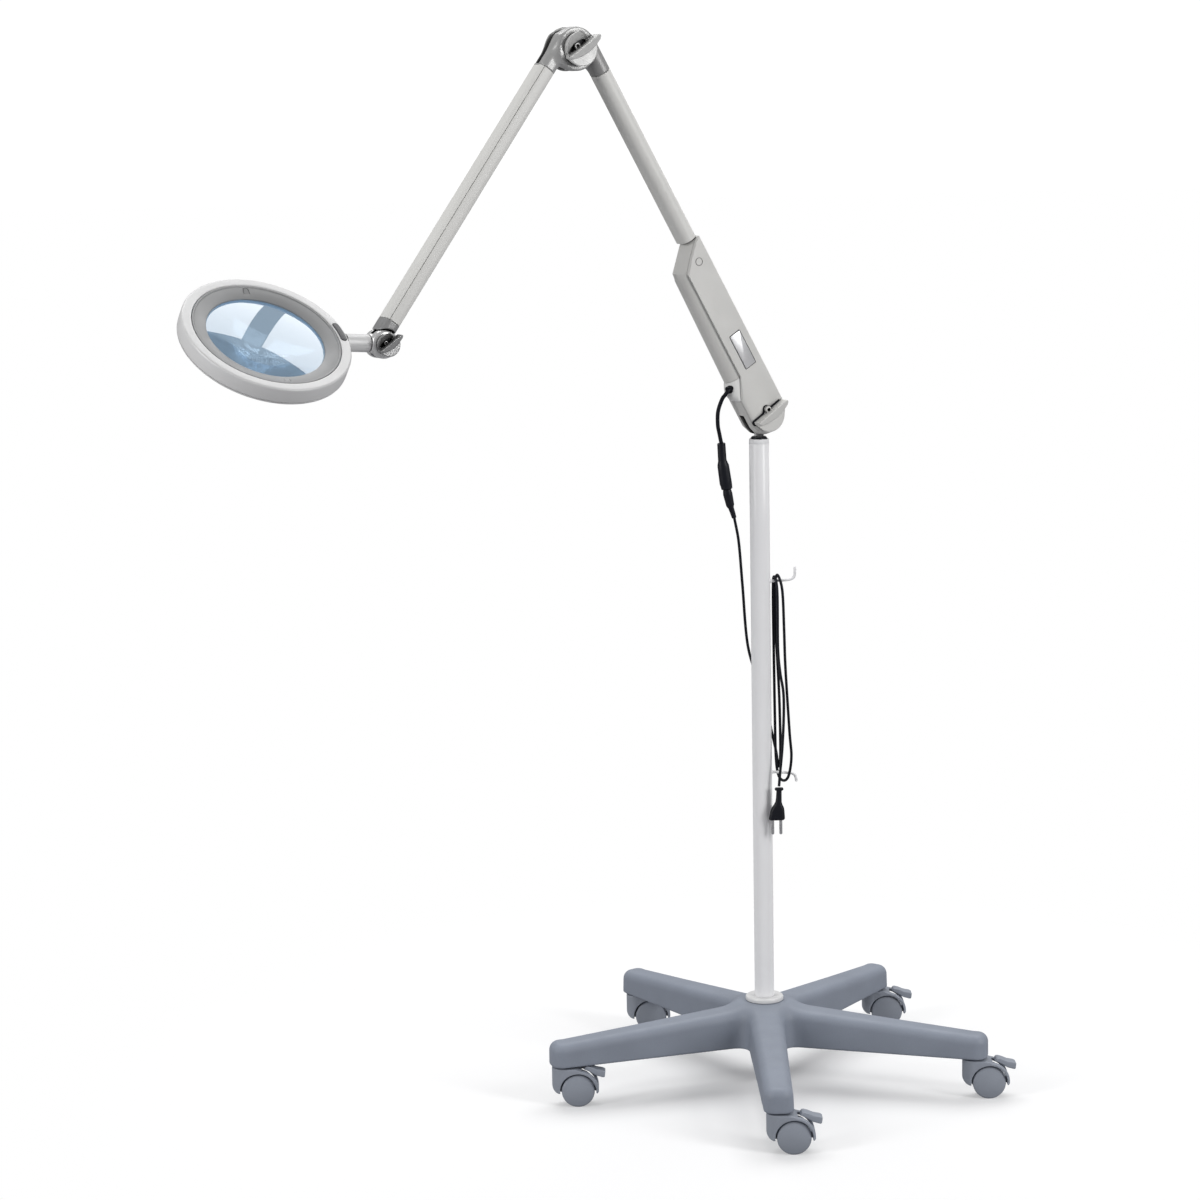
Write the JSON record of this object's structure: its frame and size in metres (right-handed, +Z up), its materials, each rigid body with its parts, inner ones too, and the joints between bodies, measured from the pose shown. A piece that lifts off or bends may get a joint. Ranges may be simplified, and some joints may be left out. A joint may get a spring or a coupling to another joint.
{
  "type": "magnifying lamp",
  "caption": "Round illuminated magnifier on a two-section jointed arm, carried by a slim column on a five-star castor base with cable hooks.",
  "frame": {"origin": "centre of the flat face under the base hub, on the column's axis, 52 mm above the floor", "axes": "+Z up along the column, +X the side the castors trail and the cable hooks point to, -Y the side the knobs face; the arms lean towards azimuth 210 degrees"},
  "size_m": [0.9926, 0.6703, 1.3498],
  "materials": {
    "base_grey": "fine moulded texture, matte",
    "castor_grey": "moulded, satin",
    "column_white": "powder coat, semi-gloss",
    "collar_white": "moulded, satin",
    "arm_white": "powder coat, satin",
    "casing_grey": "silver-grey moulded, fine grain, satin",
    "joint_grey": "die-cast, dark grey satin",
    "knob_grey": "light grey, semi-gloss",
    "head_grey": "light grey, satin",
    "bezel_grey": "mid grey, satin",
    "outlet_white": "white, satin",
    "black_plastic": "black, soft PVC sheen",
    "rubber_dark": "dark grey, matt",
    "steel": "zinc plated",
    "plate_silver": "satin, blank",
    "lens_glass": "clear, polished",
    "diffuser": "opal",
    "board_green": "circuit board"
  },
  "bodies": {
    "base": {"base_star": "base_grey", "base_collar": "collar_white", "column_tube": "column_white", "column_screw_1": "steel", "column_screw_2": "steel", "column_bush": "black_plastic", "upper_cable_hook": "column_white", "lower_cable_hook": "column_white", "mains_cable": "black_plastic", "mains_plug": "black_plastic", "plug_pin_1": "steel", "plug_pin_2": "steel"},
    "swivel": {"swivel_yoke": "joint_grey", "lead_socket": "black_plastic", "lead_plug": "black_plastic"},
    "lower_arm": {"casing_shell": "casing_grey", "casing_cover": "casing_grey", "lead_outlet": "outlet_white", "label_plate": "plate_silver", "led_driver": "black_plastic", "lower_arm_tube": "arm_white", "shoulder_bolt": "steel", "elbow_knuckle": "joint_grey", "lamp_lead": "black_plastic"},
    "forearm": {"elbow_clevis": "joint_grey", "elbow_bolt": "steel", "forearm_profile": "arm_white", "forearm_cover": "arm_white", "wrist_tongue": "joint_grey"},
    "wrist": {"wrist_clevis": "casing_grey", "wrist_bolt": "steel"},
    "head": {"neck_tube": "head_grey", "head_housing": "head_grey", "head_bezel": "bezel_grey", "bezel_plug_1": "bezel_grey", "bezel_plug_2": "bezel_grey", "lens": "lens_glass", "lens_retainer": "head_grey", "led_board": "board_green", "led_diffuser": "diffuser", "lower_cover": "head_grey"},
    "switch_button": {"power_switch": "rubber_dark"},
    "shoulder_knob_body": {"shoulder_knob": "knob_grey"},
    "elbow_knob_body": {"elbow_knob": "knob_grey"},
    "wrist_knob_body": {"wrist_knob": "knob_grey"},
    "castor_1": {"castor_1_housing": "castor_grey"},
    "castor_1_wheel_pair": {"castor_1_wheels": "castor_grey"},
    "castor_1_brake_lever": {"castor_1_brake": "castor_grey"},
    "castor_2": {"castor_2_housing": "castor_grey"},
    "castor_2_wheel_pair": {"castor_2_wheels": "castor_grey"},
    "castor_2_brake_lever": {"castor_2_brake": "castor_grey"},
    "castor_3": {"castor_3_housing": "castor_grey"},
    "castor_3_wheel_pair": {"castor_3_wheels": "castor_grey"},
    "castor_3_brake_lever": {"castor_3_brake": "castor_grey"},
    "castor_4": {"castor_4_housing": "castor_grey"},
    "castor_4_wheel_pair": {"castor_4_wheels": "castor_grey"},
    "castor_4_brake_lever": {"castor_4_brake": "castor_grey"},
    "castor_5": {"castor_5_housing": "castor_grey"},
    "castor_5_wheel_pair": {"castor_5_wheels": "castor_grey"},
    "castor_5_brake_lever": {"castor_5_brake": "castor_grey"}
  },
  "joints": [
    {"name": "arm_swivel", "type": "hinge", "parent": "base", "child": "swivel", "pos_m": [0, 0, 0.787], "axis": [0, 0, 1], "range_deg": [-165, 165]},
    {"name": "shoulder_tilt", "type": "hinge", "parent": "swivel", "child": "lower_arm", "pos_m": [0, 0, 0.8192], "axis": [0.5, -0.866, 0], "range_deg": [-40, 50], "deforming": ["lamp_lead"]},
    {"name": "elbow_tilt", "type": "hinge", "parent": "lower_arm", "child": "forearm", "pos_m": [-0.22647, -0.13075, 1.27213], "axis": [0.5, -0.866, 0], "range_deg": [-113, 15]},
    {"name": "wrist_tilt", "type": "hinge", "parent": "forearm", "child": "wrist", "pos_m": [-0.45426, -0.26226, 0.93749], "axis": [0.5, -0.866, 0], "range_deg": [-20, 80]},
    {"name": "head_roll", "type": "hinge", "parent": "wrist", "child": "head", "pos_m": [-0.58112, -0.33551, 0.94979], "axis": [-0.863, -0.4982, 0.0837], "range_deg": [-55, 125]},
    {"name": "shoulder_knob_turn", "type": "hinge", "parent": "lower_arm", "child": "shoulder_knob_body", "pos_m": [0, 0, 0.8192], "axis": [0.5, -0.866, 0], "range_deg": [-180, 180]},
    {"name": "elbow_knob_turn", "type": "hinge", "parent": "forearm", "child": "elbow_knob_body", "pos_m": [-0.22647, -0.13075, 1.27213], "axis": [0.5, -0.866, 0], "range_deg": [-180, 180]},
    {"name": "wrist_knob_turn", "type": "hinge", "parent": "wrist", "child": "wrist_knob_body", "pos_m": [-0.45426, -0.26226, 0.93749], "axis": [0.5, -0.866, 0], "range_deg": [-180, 180]},
    {"name": "switch_press", "type": "slide", "parent": "head", "child": "switch_button", "axis": [-0.3493, 0.4688, -0.8113], "range_m": [0, 0.0006]},
    {"name": "castor_1_swivel", "type": "hinge", "parent": "base", "child": "castor_1", "pos_m": [-0.26154, -0.08498, -0.031], "axis": [0, 0, 1], "continuous": true},
    {"name": "castor_1_roll", "type": "hinge", "parent": "castor_1", "child": "castor_1_wheel_pair", "pos_m": [-0.24354, -0.08498, -0.031], "axis": [0, 1, 0], "continuous": true},
    {"name": "castor_1_brake_press", "type": "hinge", "parent": "castor_1", "child": "castor_1_brake_lever", "pos_m": [-0.23554, -0.08498, -0.0025], "axis": [0, 1, 0], "range_deg": [0, 8]},
    {"name": "castor_2_swivel", "type": "hinge", "parent": "base", "child": "castor_2", "pos_m": [0, -0.275, -0.031], "axis": [0, 0, 1], "continuous": true},
    {"name": "castor_2_roll", "type": "hinge", "parent": "castor_2", "child": "castor_2_wheel_pair", "pos_m": [0.018, -0.275, -0.031], "axis": [0, 1, 0], "continuous": true},
    {"name": "castor_2_brake_press", "type": "hinge", "parent": "castor_2", "child": "castor_2_brake_lever", "pos_m": [0.026, -0.275, -0.0025], "axis": [0, 1, 0], "range_deg": [0, 8]},
    {"name": "castor_3_swivel", "type": "hinge", "parent": "base", "child": "castor_3", "pos_m": [0.26154, -0.08498, -0.031], "axis": [0, 0, 1], "continuous": true},
    {"name": "castor_3_roll", "type": "hinge", "parent": "castor_3", "child": "castor_3_wheel_pair", "pos_m": [0.27954, -0.08498, -0.031], "axis": [0, 1, 0], "continuous": true},
    {"name": "castor_3_brake_press", "type": "hinge", "parent": "castor_3", "child": "castor_3_brake_lever", "pos_m": [0.28754, -0.08498, -0.0025], "axis": [0, 1, 0], "range_deg": [0, 8]},
    {"name": "castor_4_swivel", "type": "hinge", "parent": "base", "child": "castor_4", "pos_m": [0.16164, 0.22248, -0.031], "axis": [0, 0, 1], "continuous": true},
    {"name": "castor_4_roll", "type": "hinge", "parent": "castor_4", "child": "castor_4_wheel_pair", "pos_m": [0.17964, 0.22248, -0.031], "axis": [0, 1, 0], "continuous": true},
    {"name": "castor_4_brake_press", "type": "hinge", "parent": "castor_4", "child": "castor_4_brake_lever", "pos_m": [0.18764, 0.22248, -0.0025], "axis": [0, 1, 0], "range_deg": [0, 8]},
    {"name": "castor_5_swivel", "type": "hinge", "parent": "base", "child": "castor_5", "pos_m": [-0.16164, 0.22248, -0.031], "axis": [0, 0, 1], "continuous": true},
    {"name": "castor_5_roll", "type": "hinge", "parent": "castor_5", "child": "castor_5_wheel_pair", "pos_m": [-0.14364, 0.22248, -0.031], "axis": [0, 1, 0], "continuous": true},
    {"name": "castor_5_brake_press", "type": "hinge", "parent": "castor_5", "child": "castor_5_brake_lever", "pos_m": [-0.13564, 0.22248, -0.0025], "axis": [0, 1, 0], "range_deg": [0, 8]}
  ]
}
